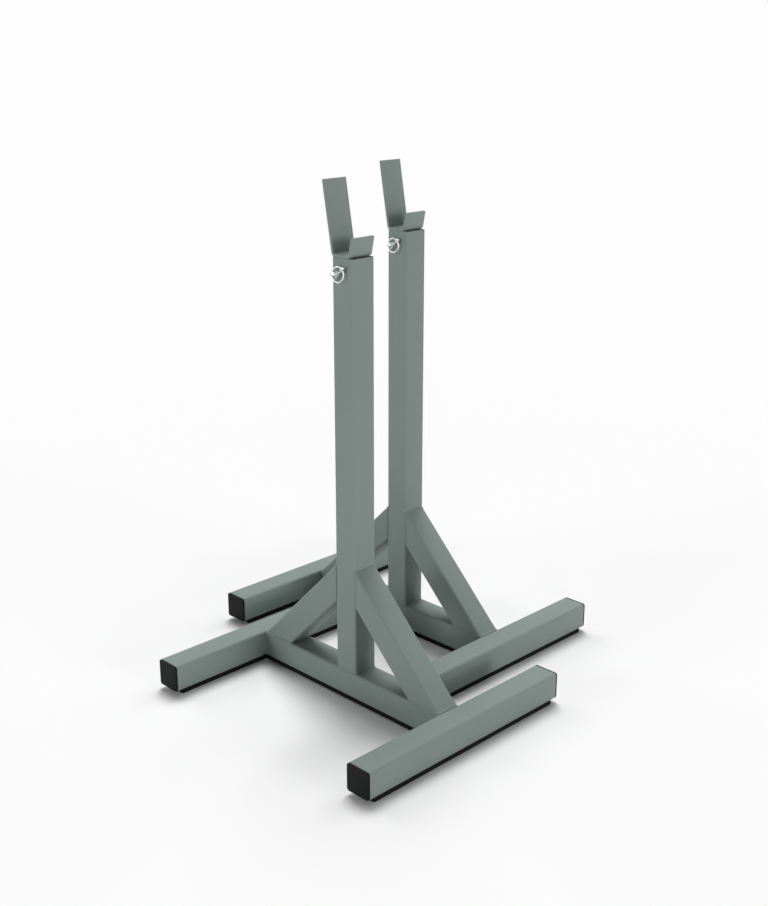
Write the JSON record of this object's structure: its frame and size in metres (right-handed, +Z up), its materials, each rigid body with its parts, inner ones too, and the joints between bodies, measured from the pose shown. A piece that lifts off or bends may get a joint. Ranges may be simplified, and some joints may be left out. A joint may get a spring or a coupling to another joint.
{
  "type": "squat stands",
  "caption": "Pair of free-standing square-tube squat stands with braced uprights, telescoping posts with bent plate bar hooks, and lock pins held by ringed linch pins.",
  "frame": {"origin": "on the floor, in the middle of the pair as it stands in the picture: halfway between the centres of the two uprights", "axes": "+Z up; +Y along the crossbeams towards the tall flags of the hooks; +X along the feet and along a bar laid in the hooks, from the near stand towards the far one"},
  "size_m": [0.946, 0.877, 1.1719],
  "materials": {
    "painted_steel": "grey-green powder coat, satin",
    "black_plastic": "moulded black plastic, matt",
    "black_rubber": "black rubber, matt",
    "zinc_plate": "bright zinc plate"
  },
  "bodies": {
    "near_stand": {"near_crossbeam": "painted_steel", "near_upright": "painted_steel", "near_front_foot": "painted_steel", "near_back_foot": "painted_steel", "near_front_brace": "painted_steel", "near_back_brace": "painted_steel", "near_front_left_cap": "black_plastic", "near_front_right_cap": "black_plastic", "near_back_left_cap": "black_plastic", "near_back_right_cap": "black_plastic", "near_front_rubber_strip": "black_rubber", "near_middle_rubber_strip": "black_rubber", "near_back_rubber_strip": "black_rubber"},
    "near_sliding_post": {"near_post": "painted_steel", "near_post_guide": "black_plastic", "near_hook": "painted_steel"},
    "near_pull_pin": {"near_lock_pin": "zinc_plate"},
    "near_clip_pin": {"near_linch_pin": "zinc_plate"},
    "near_clip_ring": {"near_linch_ring": "zinc_plate"},
    "far_stand": {"far_crossbeam": "painted_steel", "far_upright": "painted_steel", "far_front_foot": "painted_steel", "far_back_foot": "painted_steel", "far_front_brace": "painted_steel", "far_back_brace": "painted_steel", "far_front_left_cap": "black_plastic", "far_front_right_cap": "black_plastic", "far_back_left_cap": "black_plastic", "far_back_right_cap": "black_plastic", "far_front_rubber_strip": "black_rubber", "far_middle_rubber_strip": "black_rubber", "far_back_rubber_strip": "black_rubber"},
    "far_sliding_post": {"far_post": "painted_steel", "far_post_guide": "black_plastic", "far_hook": "painted_steel"},
    "far_pull_pin": {"far_lock_pin": "zinc_plate"},
    "far_clip_pin": {"far_linch_pin": "zinc_plate"},
    "far_clip_ring": {"far_linch_ring": "zinc_plate"}
  },
  "joints": [
    {"name": "near_post_slide", "type": "slide", "parent": "near_stand", "child": "near_sliding_post", "axis": [0, 0, 1], "range_m": [0, 0.6]},
    {"name": "near_pin_pull", "type": "slide", "parent": "near_stand", "child": "near_pull_pin", "axis": [-1, 0, 0], "range_m": [0, 0.1]},
    {"name": "near_linch_lift", "type": "slide", "parent": "near_pull_pin", "child": "near_clip_pin", "axis": [0, -0.7071, 0.7071], "range_m": [0, 0.012]},
    {"name": "near_ring_swing", "type": "hinge", "parent": "near_clip_pin", "child": "near_clip_ring", "pos_m": [-0.212, -0.0985, 0.9931], "axis": [0, 0.7071, 0.7071], "range_deg": [0, 170]},
    {"name": "far_stand_walk", "type": "slide", "parent": "near_stand", "child": "far_stand", "axis": [0.9721, -0.2346, 0], "range_m": [0, 0.7757]},
    {"name": "far_post_slide", "type": "slide", "parent": "far_stand", "child": "far_sliding_post", "axis": [0, 0, 1], "range_m": [0, 0.6]},
    {"name": "far_pin_pull", "type": "slide", "parent": "far_stand", "child": "far_pull_pin", "axis": [-1, 0, 0], "range_m": [0, 0.1]},
    {"name": "far_linch_lift", "type": "slide", "parent": "far_pull_pin", "child": "far_clip_pin", "axis": [0, -0.7071, 0.7071], "range_m": [0, 0.012]},
    {"name": "far_ring_swing", "type": "hinge", "parent": "far_clip_pin", "child": "far_clip_ring", "pos_m": [0.134, 0.0835, 0.9931], "axis": [0, 0.7071, 0.7071], "range_deg": [0, 170]}
  ]
}
